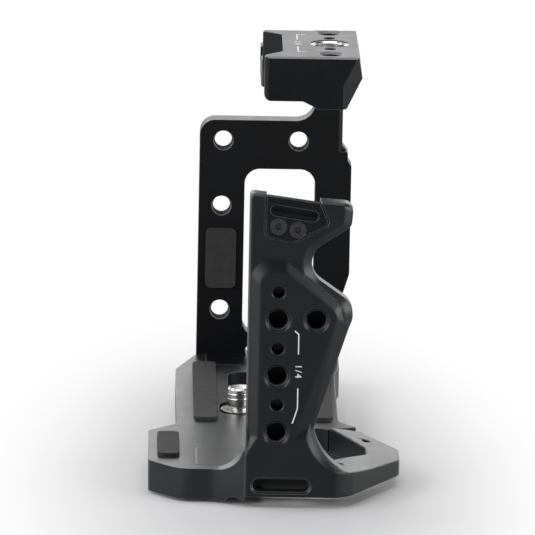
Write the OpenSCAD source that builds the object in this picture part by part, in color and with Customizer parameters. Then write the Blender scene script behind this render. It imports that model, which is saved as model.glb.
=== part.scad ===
// Camera cage: a machined aluminium frame that bolts round a mirrorless camera.
// +X runs from the grip side to the far side, +Y from the lens side to the rear, +Z up.
// The origin is the mouth of the steel tripod thread in the underside of the base plate.

/* [Frame] */
// Distance from the lens axis to the outer face of the grip side arm
grip_side_reach = 74; // [73.5:0.1:74.5]
// Distance from the lens axis to the outer face of the far side wall
far_side_reach = 68.8; // [68.6:0.1:69.4]
// Height of the top face of the block above the underside of the base
block_top = 104; // [103.5:0.1:104.5]
// Height of the base plate's top face
base_top = 7.9; // [7.8:0.1:8.1]
// Underside of the arm's foot and of the grip bar
foot_bottom = 2.05; // [2:0.05:2.2]
// Top face of the grip bar
bar_top = 6.7; // [6.5:0.1:6.9]

/* [Arm] */
// Thickness of the arm from its raised field to its inner face
arm_thickness = 7; // [6.8:0.1:7.2]
// Height of the raised field above the neck of the arm
field_rise = 1.3; // [1.1:0.1:1.5]
// Rear edge of the arm
arm_rear = 12.6; // [12.5:0.05:12.7]
// Height of the top of the arm
arm_top = 79.5; // [79:0.1:80]
// Height of the lowest of the threaded holes
first_hole_z = 18.6; // [18.4:0.1:18.8]
// Distance between the threaded holes
hole_pitch = 14.45; // [14.3:0.05:14.6]
// Position of the hole column, measured from the tripod thread
hole_column_y = 5; // [4.8:0.1:5.2]

/* [Threads and screws] */
// Radius of a 1/4 inch thread's core hole
quarter_core = 2.6; // [2.55:0.05:2.65]
// Radius of a 3/8 inch thread's core hole
three_eighth_core = 4; // [3.9:0.05:4.05]
// Radius of a locating hole
locating_radius = 1.5; // [1.45:0.05:1.6]
// Radius of a 3 mm screw's thread
small_screw = 1.5; // [1.45:0.05:1.5]

/* [Pads] */
// Thickness of the rubber pads that touch the camera
pad_thickness = 1.2; // [1:0.1:1.3]
// Height of the rubber feet below the underside
foot_pad_drop = 0.7; // [0.5:0.1:0.9]

/* [Hidden] */
$fn = 72;
over = 0.1;
arc_step = 7;

black = [0.13, 0.13, 0.14];
rubber_black = [0.06, 0.06, 0.06];
steel = [0.72, 0.72, 0.74];
screw_black = [0.1, 0.1, 0.11];

// Grip side arm
field_x = -grip_side_reach;
neck_x = field_x + field_rise;
arm_inner_x = field_x + arm_thickness;
edge_x = neck_x + 1.5;
front_chamfer = 2;
rear_chamfer = 0.35;
top_chamfer = 0.25;
hole_heights = [for (i = [0 : 2]) first_hole_z + i * hole_pitch];
extra_hole_y = hole_column_y - 9.6;
locating_gap = 7.15;
chamfer_depth = 0.65;
foot_wall_x = field_x + 4;
foot_slot_y = 3.6;
foot_slot_z = 5;
foot_slot_length = 14.2;
foot_slot_width = 3.3;

// Strap loop plate let into the top of the arm
loop_plate_thickness = 2;
loop_plate_gap = 0.3;
loop_slot_y = 1.4;
loop_slot_z = 74.7;
loop_slot_tilt = 8.5;
loop_slot_length = 12.2;
loop_slot_width = 2.8;
loop_screw_points = [[5.35, 71.25], [0.45, 70.45]];
flat_head_radius = 1.85;
flat_head_depth = 1.1;
loop_screw_shank = small_screw - 0.25;

// Base plate
base_side_x = field_x + 5.1;
base_rear = 36.8;
base_middle_rear = 29.5;
base_front = -12;
tongue_thickness = base_top - foot_bottom;
camera_screw_y = 13.2;
camera_screw_slot = 6;
screw_web_bottom = 3;
screw_web_top = 4.6;

// Far side wall
wall_outer_x = far_side_reach;
wall_thickness = 6;
wall_inner_x = wall_outer_x - wall_thickness;
wall_front = -13.5;
wall_rear = 24;
post_top = 84;
wall_bar_top = 71;
wall_bar_bottom = 60;
wall_slot_z = 5;

// Top bridge
block_near_x = -19;
block_far_x = 17;
block_rear = 8.7;
block_front = -15.3;
block_holes_y = -8.2;
block_bottom = 92.5;
lip_bottom = 90.5;
notch_floor_y = 3.9;
shoulder_top = 91;
shoulder_bottom = post_top;
shoulder_near_x = 42;
shoulder_rear = 8.5;
shoe_centre_x = 55.4;
shoe_slot_width = 18.7;
shoe_throat_width = 12.6;
quarter_offset = 14;
insert_radius = 4.95;
insert_depth = 8;

function unit(v) = v / norm(v);

function wrap(angle) = angle > 180 ? angle - 360 : angle < -180 ? angle + 360 : angle;

// Points of the arc that rounds corner b, between its neighbours a and c
function corner_arc(a, b, c, r) =
    let (
        u = unit(a - b),
        v = unit(c - b),
        half = acos(u * v) / 2,
        start = b + u * r / tan(half),
        finish = b + v * r / tan(half),
        centre = b + unit(u + v) * r / sin(half),
        from = atan2(start.y - centre.y, start.x - centre.x),
        sweep = wrap(atan2(finish.y - centre.y, finish.x - centre.x) - from),
        steps = max(2, ceil(abs(sweep) / arc_step))
    )
    [for (i = [0 : steps]) centre + r * [cos(from + sweep * i / steps), sin(from + sweep * i / steps)]];

function flat_point(p) = [p[0], p[1]];

// A closed outline from corners [x, y, radius]
function rounded(corners) =
    let (n = len(corners))
    [for (i = [0 : n - 1])
        each corners[i][2] == 0
            ? [flat_point(corners[i])]
            : corner_arc(
                flat_point(corners[(i + n - 1) % n]),
                flat_point(corners[i]),
                flat_point(corners[(i + 1) % n]),
                corners[i][2]
            )];

// Extrudes a shape drawn in Y and Z from x0 to x1
module along_x(x0, x1) {
    translate([x0, 0, 0])
        rotate([90, 0, 90])
            linear_extrude(x1 - x0) children();
}

// Extrudes a shape drawn in X and Y from z0 to z1
module along_z(z0, z1) {
    translate([0, 0, z0])
        linear_extrude(z1 - z0) children();
}

// A round-ended slot, length measured over its ends
module slot_shape(length, width) {
    for (side = [-1, 1])
        translate([side * (length - width) / 2, 0]) circle(d = width, $fn = 36);
    square([length - width, width], center = true);
}

// A hole along +X from the outer face, with a chamfered mouth
module side_hole(x, y, z, radius, depth, mouth) {
    translate([x, y, z])
        rotate([0, 90, 0]) {
            translate([0, 0, -over]) cylinder(r = radius, h = depth + over);
            translate([0, 0, -over])
                cylinder(r1 = mouth + over, r2 = radius, h = mouth - radius + over);
        }
}

// A 1/4 inch thread's hole through a wall
module quarter_side_hole(x, y, z, wall) {
    side_hole(x, y, z, quarter_core, wall + over, quarter_core + chamfer_depth);
}

module locating_side_hole(x, y, z) {
    side_hole(x, y, z, locating_radius, 4.5, locating_radius + 0.25);
}

// A hole down from a top face, with a chamfered mouth
module top_hole(x, y, z, radius, depth, mouth) {
    translate([x, y, z])
        mirror([0, 0, 1]) {
            translate([0, 0, -over]) cylinder(r = radius, h = depth + over);
            translate([0, 0, -over])
                cylinder(r1 = mouth + over, r2 = radius, h = mouth - radius + over);
        }
}

// A flat-headed screw along +Z with its head's face at z = 0
module flat_screw(head_r, head_h, shank_r, length, key) {
    difference() {
        rotate_extrude()
            polygon([
                [0, 0], [head_r, 0], [head_r, -0.25], [shank_r, -head_h], [shank_r, -length],
                [0, -length]
            ]);
        translate([0, 0, -0.6 * head_h]) cylinder(r = key, h = head_h, $fn = 6);
    }
}

// A socket-headed screw with its head's top at z = 0
module cap_screw(head_r, head_h, shank_r, length, key) {
    difference() {
        union() {
            translate([0, 0, -head_h]) cylinder(r = head_r, h = head_h);
            translate([0, 0, -length]) cylinder(r = shank_r, h = length - head_h + over);
        }
        translate([0, 0, -0.55 * head_h]) cylinder(r = key, h = head_h, $fn = 6);
    }
}

// ---- Grip side arm ----------------------------------------------------------

// Silhouette of the upright from the foot's throat to the top, drawn in Y and Z
upright_outline = [
    [arm_rear, 13, 0],
    [arm_rear, arm_top, 1],
    [-5, arm_top - 1.9, 0],
    [-13.4, arm_top - 2.5, 2.2],
    [-13.0, 71.2, 2.5],
    [1.2, 61.9, 5.6],
    [-14.9, 50.6, 5.5],
    [-3.6, 22.5, 14.3],
    [-6, 13, 0]
];

// How far each edge of the upright is drawn in at the neck's face, before it is cut flat
upright_insets = [rear_chamfer, top_chamfer, top_chamfer, front_chamfer, front_chamfer,
    front_chamfer, front_chamfer, front_chamfer, 0];

function edge_line(a, b, inset) =
    let (d = unit(b - a), n = [-d.y, d.x])
    [a + n * inset, d];

function crossing(l, m) =
    let (det = l[1].x * m[1].y - l[1].y * m[1].x, gap = m[0] - l[0])
    l[0] + l[1] * (gap.x * m[1].y - gap.y * m[1].x) / det;

// Corners of an outline after each edge moves in by its own inset
function inset_corners(corners, insets, radii) =
    let (n = len(corners))
    [for (i = [0 : n - 1])
        let (
            a = flat_point(corners[(i + n - 1) % n]),
            b = flat_point(corners[i]),
            c = flat_point(corners[(i + 1) % n]),
            p = crossing(edge_line(a, b, insets[(i + n - 1) % n]), edge_line(b, c, insets[i]))
        )
        [p.x, p.y, radii[i]]];

skin_over = 0.6;
skin_spread = 1 + skin_over / (edge_x - neck_x);
upright_inner_radii = [0, 0.7, 0, 0.6, 0.7, 8, 2.8, 17, 0];
upright_face = inset_corners(
    upright_outline, [for (inset = upright_insets) inset * skin_spread], upright_inner_radii
);

// A solid through outlines [x, points], every one with the same number of points
module skin(rings) {
    n = len(rings[0][1]);
    last = len(rings) - 1;
    polyhedron(
        points = [for (ring = rings) each [for (p = ring[1]) [ring[0], p.x, p.y]]],
        faces = concat(
            [[for (i = [0 : n - 1]) i]],
            [[for (i = [n - 1 : -1 : 0]) last * n + i]],
            [for (k = [0 : last - 1]) each
                [for (i = [0 : n - 1])
                    let (a = k * n + i, b = k * n + (i + 1) % n)
                    each [[a, a + n, b + n], [a, b + n, b]]]]
        )
    );
}

// Matches a rounded outline to its inset one, corner by corner
function matched(corners, steps_from) =
    let (n = len(corners))
    [for (i = [0 : n - 1])
        let (
            a = flat_point(corners[(i + n - 1) % n]),
            b = flat_point(corners[i]),
            c = flat_point(corners[(i + 1) % n]),
            u = unit(a - b),
            v = unit(c - b),
            half = acos(u * v) / 2,
            r = corners[i][2],
            centre = b + unit(u + v) * r / sin(half),
            start = b + u * r / tan(half),
            finish = b + v * r / tan(half),
            from = atan2(start.y - centre.y, start.x - centre.x),
            sweep = wrap(atan2(finish.y - centre.y, finish.x - centre.x) - from),
            steps = steps_from[i]
        )
        each r == 0
            ? [b]
            : [for (k = [0 : steps])
                let (angle = from + sweep * k / steps)
                centre + r * [cos(angle), sin(angle)]]];

upright_steps = [0, 5, 0, 8, 8, 14, 12, 6, 0];

// Raised field with its threaded holes, drawn in Y and Z
field_outline = [
    [9.7, 14, 0],
    [9.7, 59.9, 3.6],
    [3.3, 59.9, 1.6],
    [-10.2, 49.1, 2.8],
    [1.75, 14, 0]
];
skirt_outline = [
    [12.45, 14, 0],
    [12.45, 63.6, 5.6],
    [3.5, 63.6, 3],
    [-11.7, 50.6, 3],
    [-2.6, 22, 0],
    [-2.6, 14, 0]
];
front_skirt_outline = [
    [-4, 46.2, 0],
    [-13.05, 46.3, 0],
    [-3.35, 21.4, 0],
    [-2, 21.4, 0]
];

function arc_points(centre, r, from, to, steps) =
    [for (i = [0 : steps]) let (a = from + (to - from) * i / steps) centre + r * [cos(a), sin(a)]];

// The foot's outer face and the line where its bevel meets the side, drawn in Y and Z
cheek_steps = 16;
cheek_face = concat(
    [[arm_rear, foot_bottom], [arm_rear, 12.5], [9.7, 17.2]],
    arc_points([-14.2, 20.1], 12, -14, -90, cheek_steps),
    [[-14.2, foot_bottom]]
);
cheek_edge = concat(
    [[arm_rear, foot_bottom], [arm_rear, 26.8], [9.7, 26.8]],
    arc_points([-18.6, 21.5], 14.3, 21.9, -71, cheek_steps),
    [[-14.2, foot_bottom]]
);

// Side view of the grip bar
bar_side_view = [
    [-9, foot_bottom, 0],
    [-9, 9, 0],
    [-14.2, 8, 4],
    [-19, 6.9, 8],
    [-30, 5.7, 0],
    [-30, foot_bottom, 0]
];

// What is cut away in front of the foot and of the bar round the camera's grip, in X and Y
front_cut_plan = [
    [-80, -6, 0],
    [field_x - 0.6, -6, 0],
    [field_x + 0.1, -12.8, 8.5],
    [-48, -26.9, 7],
    [-37, -26.9, 6],
    [-22.5, -17.5, 0],
    [-10, -9.4, 0],
    [-10, -40, 0],
    [-80, -40, 0]
];

// The window inside the bar, in X and Y
foot_web_x = -62.6;
window_plan = [
    [foot_web_x, 14, 0],
    [foot_web_x, -8.8, 3],
    [-47, -18.4, 5],
    [-39.5, -18.4, 4],
    [-25.5, -9.6, 0],
    [-22.5, -17.5, 0],
    [-22.5, -38, 0],
    [-8, -38, 0],
    [-8, 14, 0]
];

// The strap's way behind the foot's slot, in X and Y
strap_pocket_plan = [
    [foot_wall_x, 11.2, 1.5],
    [foot_wall_x, -4.4, 1.5],
    [-64.6, -4.4, 1.5],
    [-64.6, 11.2, 1.5]
];

// The tongue that carries the foot on the base plate
tongue_plan = [
    [foot_wall_x, 10.9, 0],
    [-44, 10.9, 2],
    [-44, 25, 2],
    [-65, 25, 2],
    [-65, arm_rear - 0.4, 0],
    [foot_wall_x, arm_rear - 0.4, 0]
];

// The strap's way up behind the loop plate, and where the arm's top is lowered for it
strap_way_outline = [
    [7.7, arm_top + 1, 0],
    [7.7, 74.2, 1],
    [-4.9, 72.3, 1],
    [-4.9, arm_top + 1, 0]
];
strap_exit_outline = [
    [8.4, arm_top + 1, 0],
    [8.4, arm_top - 2.4, 1],
    [-5, arm_top - 4.3, 1],
    [-5, arm_top + 1, 0]
];
strap_back_wall = 1.5;

loop_plate_outline = [
    [8.7, arm_top + 1, 0],
    [8.7, 68.4, 2.2],
    [1.6, 66.9, 3.2],
    [-7.6, 71.9, 1.4],
    [-5.15, arm_top - 1.95, 0.4],
    [-5.3, arm_top + 1, 0]
];

module loop_slot_cut() {
    along_x(field_x - 1, arm_inner_x + 1)
        translate([loop_slot_y, loop_slot_z])
            rotate(loop_slot_tilt) slot_shape(loop_slot_length, loop_slot_width);
}

module arm_upright() {
    outline = matched(upright_outline, upright_steps);
    difference() {
        skin([
            [neck_x - skin_over, matched(upright_face, upright_steps)],
            [edge_x, outline],
            [arm_inner_x + 1, outline]
        ]);
        translate([neck_x - 3, -40, 0]) cube([3, 80, arm_top + 10]);
    }
}

// Raised field: its bevels fall to the rear edge, to the neck and to the front edge
module raised_field() {
    hull() {
        along_x(field_x + 0.03, field_x + 0.05) polygon(rounded(field_outline));
        along_x(neck_x + 0.25, neck_x + 0.3) polygon(rounded(skirt_outline));
        along_x(edge_x - 0.3, edge_x - 0.2) polygon(rounded(front_skirt_outline));
    }
}

// Foot and grip bar, cut to their plan
module arm_foot() {
    difference() {
        union() {
            skin([
                [field_x, cheek_face],
                [edge_x, cheek_edge],
                [arm_inner_x + 0.8, cheek_edge]
            ]);
            along_x(field_x + 0.1, -20) polygon(rounded(bar_side_view));
            translate([field_x + 2, -10, foot_bottom]) cube([9.6, arm_rear + 10, 5.85]);
        }
        along_z(0, 30) polygon(rounded(front_cut_plan));
        along_z(0, 13) polygon(rounded(window_plan));
        along_z(0, 13) polygon(rounded(strap_pocket_plan));
    }
    along_z(foot_bottom, base_top) polygon(rounded(tongue_plan));
}

module grip_side_arm() {
    color(black)
        difference() {
            union() {
                arm_upright();
                raised_field();
                arm_foot();
            }
            // flat inner face beside the camera
            translate([arm_inner_x, -20, base_top + 0.4]) cube([4, 40, arm_top]);
            // pocket for the strap loop plate
            along_x(neck_x - 2, neck_x + loop_plate_thickness)
                polygon(rounded(loop_plate_outline));
            // the strap's way behind the plate and out at the top
            along_x(neck_x + 1, arm_inner_x - strap_back_wall) polygon(rounded(strap_way_outline));
            along_x(neck_x + 1, arm_inner_x + 1) polygon(rounded(strap_exit_outline));
            // strap slot through the foot's wall
            along_x(field_x - 1, foot_wall_x + 1)
                translate([foot_slot_y, foot_slot_z]) slot_shape(foot_slot_length, foot_slot_width);
            along_x(field_x - 1, field_x + 0.5)
                translate([foot_slot_y, foot_slot_z])
                    slot_shape(foot_slot_length + 0.9, foot_slot_width + 0.9);
            // threaded holes with their locating holes
            for (z = hole_heights)
                quarter_side_hole(field_x, hole_column_y, z, arm_thickness);
            quarter_side_hole(field_x, extra_hole_y, hole_heights[2], arm_thickness);
            for (z = hole_heights)
                locating_side_hole(field_x, hole_column_y, z + locating_gap);
            // screws that hold the loop plate
            for (p = loop_screw_points)
                translate([neck_x, p.x, p.y]) rotate([0, 90, 0]) cylinder(r = loop_screw_shank, h = 5.5);
            // screws that come up from the base plate
            for (p = arm_screw_points)
                tongue_screw_hole(p);
            tongue_screw_hole(grip_bar_screw_point);
        }
}

// A base screw's hole in what the screw holds
module tongue_screw_hole(p) {
    translate([p.x, p.y, foot_bottom - over]) cylinder(r = small_screw, h = tongue_thickness - 0.6);
}

module strap_loop_plate() {
    inner = inset_corners(
        loop_plate_outline,
        [for (c = loop_plate_outline) -loop_plate_gap],
        [0, 2, 3, 1.2, 0.6, 0]
    );
    color(black)
        difference() {
            intersection() {
                along_x(neck_x - 0.15, neck_x + loop_plate_thickness) polygon(rounded(inner));
                along_x(neck_x - 1, arm_inner_x)
                    polygon([
                        [20, 60], [20, arm_top - 0.35], [8.7, arm_top - 0.35],
                        [-5, arm_top - 2.2], [-20, arm_top - 2.6], [-20, 60]
                    ]);
            }
            loop_slot_cut();
            for (p = loop_screw_points)
                translate([neck_x - 0.15, p.x, p.y])
                    rotate([0, -90, 0]) {
                        translate([0, 0, -0.32]) cylinder(r = flat_head_radius + 0.1, h = 0.4);
                        translate([0, 0, -0.32 - flat_head_depth])
                            cylinder(
                                r1 = loop_screw_shank, r2 = flat_head_radius + 0.1, h = flat_head_depth
                            );
                        translate([0, 0, -4]) cylinder(r = loop_screw_shank, h = 4);
                    }
        }
}

module strap_loop_screws() {
    color(screw_black)
        for (p = loop_screw_points)
            translate([neck_x - 0.1, p.x, p.y])
                rotate([0, -90, 0])
                    flat_screw(flat_head_radius, flat_head_depth, loop_screw_shank, 5, 1);
}

// ---- Base plate -------------------------------------------------------------

base_outline = [
    [base_side_x, 20.6, 5.5],
    [base_side_x, 29.1, 7],
    [-60, base_rear, 3],
    [-27, base_rear, 4],
    [-19, base_middle_rear, 4],
    [44, base_middle_rear, 4],
    [wall_inner_x, wall_rear, 3],
    [wall_inner_x, wall_front, 0],
    [50, wall_front, 5],
    [40, base_front, 5],
    [-14, base_front, 6],
    [-24, -19, 3],
    [-34, -25.2, 3],
    [-39, -19.2, 2],
    [-22.5, -8.8, 3],
    [-19.5, 8, 4],
    [-62.3, 8, 0],
    [-62.3, arm_rear + 0.05, 0],
    [-73.5, arm_rear + 0.05, 0]
];

base_head_radius = 2.75;
arm_screw_points = [[-59, 20], [-49, 22.2], [-49, 16.4]];
grip_bar_screw_point = [-31.5, -18.3];
wall_screw_points = [[56, -7], [56, 3], [56, 18]];
notch_y = 15.4;
notch_radius = 2.5;
notch_drop = 1.1;
key_pocket_y = 24.6;
key_length = 52;
key_short = 14;
key_x = -38;
key_radius = 2.28;
key_pocket_depth = 4.5;
key_centre_z = 2.15;
key_magnet_xs = [key_x + 18, key_x + 36];

front_pad_plan = [[-14, -10.5, 2], [48, -10.5, 2], [48, -4.5, 2], [-14, -4.5, 2]];
rear_pad_plan = [[-15, 19, 2], [50, 19, 2], [50, 25, 2], [-15, 25, 2]];
lip_pad_plan = [[-56, 29, 2], [-31, 29, 2], [-31, 34.5, 2], [-56, 34.5, 2]];
pad_sink = 0.5;

grip_foot_plan = [[-66, 8.3, 1.2], [-42, 8.3, 1.2], [-42, 13.4, 1.2], [-66, 13.4, 1.2]];
rear_foot_plan = [[-58, 30.5, 2], [-32, 30.5, 2], [-32, 35, 2], [-58, 35, 2]];
far_front_foot_plan = [[30, -10, 2], [50, -10, 2], [50, -5.5, 2], [30, -5.5, 2]];
far_rear_foot_plan = [[30, 22, 2], [50, 22, 2], [50, 26.5, 2], [30, 26.5, 2]];
foot_sink = 0.6;

module countersunk_from_below(p, depth) {
    translate([p.x, p.y, -over]) {
        cylinder(r = small_screw + 0.15, h = depth + 2 * over);
        cylinder(r = base_head_radius + 0.1, h = 0.4 + over);
        translate([0, 0, 0.4 + over])
            cylinder(r1 = base_head_radius + 0.1, r2 = small_screw + 0.15, h = 1.35);
    }
}

module base_plate() {
    color(black)
        difference() {
            union() {
                along_z(0, base_top) polygon(rounded(base_outline));
                // ledge under the arm's foot
                along_z(0, foot_bottom)
                    polygon(rounded([[-68, 8, 1.5], [-60, 8, 0], [-60, 14, 0], [-68, 14, 0]]));
                // the edge sweeps up to meet the arm
                intersection() {
                    along_z(0, 20) polygon(rounded(base_outline));
                    along_x(-74, -66.2)
                        polygon(concat(
                            arc_points([20.3, 15.2], 7.3, 192, 270, 10),
                            [[20.3, 6], [10, 6], [10, 15.2 - 7.3 * sin(12)]]
                        ));
                }
            }
            // bed for the arm's tongue
            along_z(foot_bottom, base_top + over)
                polygon(rounded([
                    [-66, 10.8, 0],
                    [-43.9, 10.8, 0],
                    [-43.9, 25.1, 2],
                    [-65.1, 25.1, 2],
                    [-65.1, arm_rear - 0.3, 0],
                    [-66, arm_rear - 0.3, 0]
                ]));
            // bed for the end of the grip bar
            along_z(foot_bottom, base_top + over)
                polygon([[-45, -30], [-20.2, -30], [-20.2, -16.6], [-23.6, -7.8], [-45, -22]]);
            // slot for the camera screw, counterbored from both sides
            along_z(-over, base_top + over)
                translate([0, camera_screw_y]) slot_shape(camera_screw_slot + 6.8, 6.8);
            along_z(-over, screw_web_bottom)
                translate([0, camera_screw_y]) slot_shape(camera_screw_slot + 13.2, 13.2);
            along_z(screw_web_top, base_top + over)
                translate([0, camera_screw_y]) slot_shape(camera_screw_slot + 10.6, 10.6);
            // tripod threads
            translate([0, 0, -over]) cylinder(r = insert_radius, h = 6.5 + over);
            translate([0, 0, -over]) cylinder(r = three_eighth_core + 0.4, h = base_top + 2 * over);
            for (side = [-1, 1])
                translate([side * 16, 0, 0])
                    mirror([0, 0, 1])
                        top_hole(0, 0, 0, quarter_core, base_top + over, quarter_core + chamfer_depth);
            for (side = [-1, 1])
                translate([side * 9, 0, -over]) cylinder(r = locating_radius, h = 5 + over);
            // lightening window
            along_z(-over, base_top + over)
                polygon(rounded([[24, 0, 4], [42, 0, 4], [42, 16, 4], [24, 16, 4]]));
            // finger notch under the edge beside the foot
            translate([base_side_x - 6, notch_y, -notch_drop])
                rotate([0, 90, 0]) cylinder(r = notch_radius, h = 14);
            translate([base_side_x - 6, arm_rear - 0.6, -over])
                cube([8.4, notch_y - arm_rear + 0.6, 0.9 + over]);
            // pocket for the hex key and its magnets
            key_pocket();
            for (x = key_magnet_xs)
                translate([x, key_pocket_y, key_pocket_depth - over]) cylinder(r = 1.5, h = 2 + over);
            for (p = arm_screw_points) countersunk_from_below(p, foot_bottom);
            countersunk_from_below(grip_bar_screw_point, foot_bottom);
            for (p = wall_screw_points) countersunk_from_below(p, foot_bottom);
            // bed for the wall's tongue
            along_z(foot_bottom, base_top + over)
                polygon(rounded(wall_tongue_plan(0.1)));
            // beds for the pads
            for (plan = [front_pad_plan, rear_pad_plan, lip_pad_plan])
                along_z(base_top - pad_sink, base_top + over) polygon(rounded(plan));
            for (plan = [grip_foot_plan, rear_foot_plan, far_front_foot_plan, far_rear_foot_plan])
                along_z(-over, foot_sink) polygon(rounded(plan));
        }
}

// The tongue that carries the far side wall, or the bed with play round it
function wall_tongue_plan(play) = [
    [50.1 - play, -10.4 - play, 2],
    [wall_inner_x + 1, -10.4 - play, 0],
    [wall_inner_x + 1, 21.4 + play, 0],
    [50.1 - play, 21.4 + play, 2]
];

// L-shaped pocket, open below
module key_pocket() {
    depth = key_pocket_depth + over;
    translate([key_x - 0.4, key_pocket_y - 2.2, -over]) cube([key_length + 0.8, 4.4, depth]);
    translate([key_x - 0.4, key_pocket_y - key_short, -over]) cube([4.4, key_short, depth]);
}

module seat_pad(plan) {
    pad_bottom = base_top - pad_sink;
    color(rubber_black) along_z(pad_bottom, pad_bottom + pad_thickness + 0.2) polygon(rounded(plan));
}

module front_seat_pad() { seat_pad(front_pad_plan); }
module rear_seat_pad() { seat_pad(rear_pad_plan); }
module rear_lip_pad() { seat_pad(lip_pad_plan); }

module rubber_foot(plan) {
    color(rubber_black) along_z(-foot_pad_drop, foot_sink) polygon(rounded(plan));
}

module grip_side_foot() { rubber_foot(grip_foot_plan); }
module rear_foot() { rubber_foot(rear_foot_plan); }
module far_front_foot() { rubber_foot(far_front_foot_plan); }
module far_rear_foot() { rubber_foot(far_rear_foot_plan); }

module screw_from_below(p, length) {
    translate([p.x, p.y, 0.1]) mirror([0, 0, 1]) flat_screw(base_head_radius, 1.5, small_screw, length, 1);
}

module arm_screws() {
    color(screw_black) for (p = arm_screw_points) screw_from_below(p, 5.2);
}

module grip_bar_screw() {
    color(screw_black) screw_from_below(grip_bar_screw_point, 5.2);
}

module wall_screws() {
    color(screw_black) for (p = wall_screw_points) screw_from_below(p, 5.2);
}

// Steel insert with a 3/8 inch thread, flush with the underside
module tripod_thread_insert() {
    color(steel)
        difference() {
            cylinder(r = insert_radius, h = 6.5);
            translate([0, 0, -over]) cylinder(r = three_eighth_core, h = 7);
        }
}

// Captive screw that holds the camera, shown tightened with its head against the web
module camera_screw() {
    color(steel)
        translate([0, camera_screw_y, 0])
            difference() {
                rotate_extrude()
                    polygon([
                        [0, 0.8], [5.9, 0.8], [6.2, 1.1], [6.2, screw_web_bottom], [2.4, screw_web_bottom],
                        [2.4, 6.95], [2, 6.95], [2, 7.75], [2.4, 7.75], [2.4, 8.2], [3.1, 8.6],
                        [3.1, 13], [2.6, 13.5], [0, 13.5]
                    ]);
                translate([0, 0, 0.8 - over]) cylinder(r = 2.36, h = 1.7 + over, $fn = 6);
                translate([-7, -0.6, 0.8 - over]) cube([14, 1.2, 0.9 + over]);
            }
}

// Spring clip in the screw's neck that keeps it in the slot
module screw_clip() {
    color(steel)
        translate([0, camera_screw_y, 7])
            difference() {
                cylinder(r = 4.9, h = 0.7);
                translate([0, 0, -over]) cylinder(r = 2.06, h = 1);
                translate([0, -1.5, -over]) cube([6, 3, 1]);
            }
}

module hex_key() {
    color(screw_black)
        translate([key_x, key_pocket_y, key_centre_z]) {
            rotate([0, 90, 0]) cylinder(r = key_radius, h = key_length, $fn = 6);
            translate([key_radius * cos(30), key_radius * cos(30) - 0.2, 0])
                rotate([90, 0, 0]) rotate([0, 0, 30]) cylinder(r = key_radius, h = key_short + 1.4, $fn = 6);
        }
}

module key_magnets() {
    color(steel)
        for (x = key_magnet_xs)
            translate([x, key_pocket_y, key_pocket_depth]) cylinder(r = 1.5, h = 2);
}

// ---- Far side wall ----------------------------------------------------------

wall_outline = [
    [wall_rear, 0, 0],
    [wall_rear, wall_bar_top, 4],
    [-5.5, wall_bar_top, 5],
    [-7.5, post_top, 0],
    [wall_front, post_top, 0],
    [wall_front, 64.5, 0],
    [wall_front - 1.5, 62.5, 0],
    [wall_front - 1.5, 60.5, 0],
    [wall_front - 2.5, 59, 1],
    [wall_front - 2.5, 30, 4],
    [wall_front, 22, 4],
    [wall_front, 0, 0]
];

port_window = [[12, 13, 4], [12, 58, 4], [-6.5, 58, 4], [-6.5, 13, 4]];
wall_hole_z = 65.5;
wall_hole_ys = [-2, 17.8];
rear_post_y = 18;
rear_post_zs = [20, 48];
post_chamfer = 0.9;

module far_side_wall() {
    color(black)
        difference() {
            union() {
                along_x(wall_inner_x, wall_outer_x) polygon(rounded(wall_outline));
                along_z(foot_bottom, base_top)
                    polygon(rounded(wall_tongue_plan(0)));
            }
            along_x(wall_inner_x - 1, wall_outer_x + 1) polygon(rounded(port_window));
            along_x(wall_inner_x - 1, wall_outer_x + 1)
                translate([4, wall_slot_z + 3.9]) slot_shape(foot_slot_length, foot_slot_width);
            for (y = wall_hole_ys)
                translate([wall_outer_x, y, wall_hole_z]) mirror([1, 0, 0])
                    quarter_side_hole(0, 0, 0, wall_thickness);
            translate([wall_outer_x, 7.9, wall_hole_z]) mirror([1, 0, 0])
                locating_side_hole(0, 0, 0);
            for (z = rear_post_zs)
                translate([wall_outer_x, rear_post_y, z]) mirror([1, 0, 0])
                    quarter_side_hole(0, 0, 0, wall_thickness);
            translate([wall_outer_x, rear_post_y, 34]) mirror([1, 0, 0])
                locating_side_hole(0, 0, 0);
            for (p = wall_screw_points)
                tongue_screw_hole(p);
            translate([wall_outer_x - 3, -10.5, post_top - 9]) cylinder(r = small_screw, h = 10);
            // chamfer down the post's inner front edge
            along_z(wall_hole_z - 2.6, post_top + 1)
                polygon([
                    [wall_inner_x - 1, wall_front - 1],
                    [wall_inner_x + post_chamfer + 1, wall_front - 1],
                    [wall_inner_x - 1, wall_front + post_chamfer + 1]
                ]);
        }
}

// ---- Top bridge -------------------------------------------------------------

// Side view of the block, drawn in Y and Z
block_outline = [
    [block_rear, block_top, 0.6],
    [block_front, block_top, 0.3],
    [block_front - 1.1, block_top - 6.3, 0],
    [block_front + 2.9, lip_bottom, 0.5],
    [-5.3, lip_bottom, 1],
    [-1.2, block_bottom, 1],
    [block_rear, block_bottom, 1.8]
];

// Plan of the block, which rounds its near rear corner
block_plan = [
    [block_near_x, -30, 0],
    [block_far_x + 1, -30, 0],
    [block_far_x + 1, block_rear, 0],
    [block_near_x, block_rear, 1.3]
];

// Front view of the bridge from the block to the shoulder, drawn in X and Z
bridge_view = [
    [block_far_x - 3, block_top, 3],
    [block_far_x + 2, block_top, 6],
    [38, shoulder_top, 8],
    [wall_outer_x, shoulder_top, 1],
    [wall_outer_x, shoulder_bottom, 0],
    [38, shoulder_bottom, 8],
    [block_far_x, lip_bottom + 1, 6],
    [block_far_x - 3, lip_bottom + 1, 0]
];

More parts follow.
